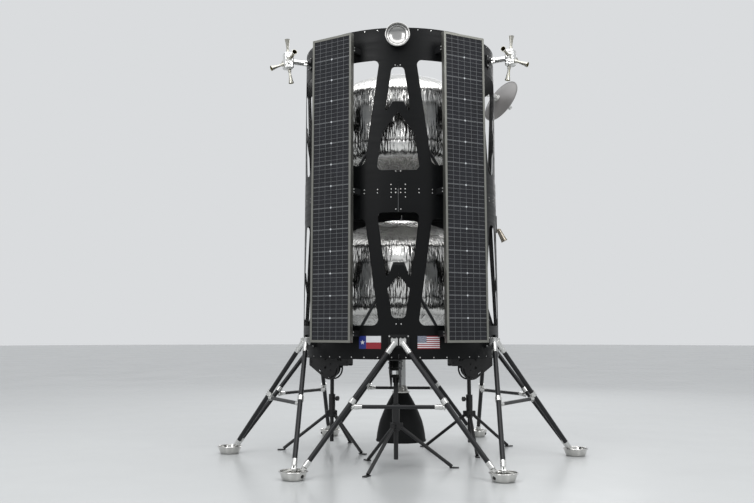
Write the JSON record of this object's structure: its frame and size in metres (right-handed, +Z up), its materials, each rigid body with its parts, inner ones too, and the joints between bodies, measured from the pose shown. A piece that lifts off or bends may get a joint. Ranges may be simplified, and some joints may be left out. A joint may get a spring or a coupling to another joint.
{
  "type": "lunar lander display model",
  "caption": "Full-size lunar lander display model: lattice cylinder shell round two foil tanks, strut legs with foot bowls, solar panels, thrusters, dish antenna and tripods.",
  "frame": {"origin": "on the floor under the body axis", "axes": "+Z up along the body axis, -Y towards the front with the lamp, +X to the right seen from the front"},
  "size_m": [2.892, 2.5302, 3.2322],
  "materials": {
    "shell_sheet": "satin black",
    "tank_foil": "crinkled bright foil",
    "black_tube": "satin black",
    "black_bracket": "satin black",
    "panel_frame": "anodised",
    "solar_cells": "dark cells under glass",
    "leg_fittings": "machined",
    "bowl_steel": "polished",
    "bell_black": "matte black",
    "feed_pipe": "light grey",
    "housing_foil": "crumpled foil",
    "nozzle_steel": "satin",
    "dish_white": "satin white",
    "dish_grey": "satin grey",
    "sensor_metal": "satin",
    "tripod_black": "matte black"
  },
  "bodies": {
    "lander": {"dish_bracket": "dish_white", "engine_bell": "bell_black", "engine_collar": "leg_fittings", "feed_pipe": "feed_pipe", "foot_bowl_1": "bowl_steel", "foot_bowl_2": "bowl_steel", "foot_bowl_3": "bowl_steel", "foot_bowl_4": "bowl_steel", "foot_bowl_5": "bowl_steel", "foot_bowl_6": "bowl_steel", "foot_lugs": "leg_fittings", "front_lamp": "bowl_steel", "leg_fittings_1": "leg_fittings", "leg_fittings_2": "leg_fittings", "leg_fittings_3": "leg_fittings", "leg_fittings_4": "leg_fittings", "leg_fittings_5": "leg_fittings", "leg_fittings_6": "leg_fittings", "leg_tubes_1": "black_tube", "leg_tubes_2": "black_tube", "leg_tubes_3": "black_tube", "leg_tubes_4": "black_tube", "leg_tubes_5": "black_tube", "leg_tubes_6": "black_tube", "lower_tank": "tank_foil", "mount_blocks": "leg_fittings", "mount_plates": "black_bracket", "panel_brackets": "black_bracket", "panel_cells_front_left": "solar_cells", "panel_cells_front_right": "solar_cells", "panel_cells_rear_left": "solar_cells", "panel_cells_rear_right": "solar_cells", "panel_frame_front_left": "panel_frame", "panel_frame_front_right": "panel_frame", "panel_frame_rear_left": "panel_frame", "panel_frame_rear_right": "panel_frame", "seam_splices": "shell_sheet", "shell_front_left": "shell_sheet", "shell_front_right": "shell_sheet", "shell_rear_left": "shell_sheet", "shell_rear_right": "shell_sheet", "side_sensor": "sensor_metal", "tank_struts": "black_tube", "thruster_arms": "leg_fittings", "thruster_brackets": "black_bracket", "thruster_housings": "housing_foil", "thruster_nozzles": "nozzle_steel", "tripod_heads": "tripod_black", "tripod_legs": "tripod_black", "tripod_masts": "tripod_black", "upper_tank": "tank_foil"},
    "dish_swivel": {"dish_yoke": "leg_fittings"},
    "dish": {"dish_feed": "leg_fittings", "dish_hub": "dish_white", "dish_reflector": "dish_grey"}
  },
  "joints": [
    {"name": "dish_swivel_turn", "type": "hinge", "parent": "lander", "child": "dish_swivel", "pos_m": [0.78219, 0.32563, 2.964], "axis": [0, 0, 1], "range_deg": [-20, 20]},
    {"name": "dish_tilt", "type": "hinge", "parent": "dish_swivel", "child": "dish", "pos_m": [0.816, 0.347, 2.964], "axis": [-0.5344, 0.8453, 0], "range_deg": [-20, 12]}
  ]
}
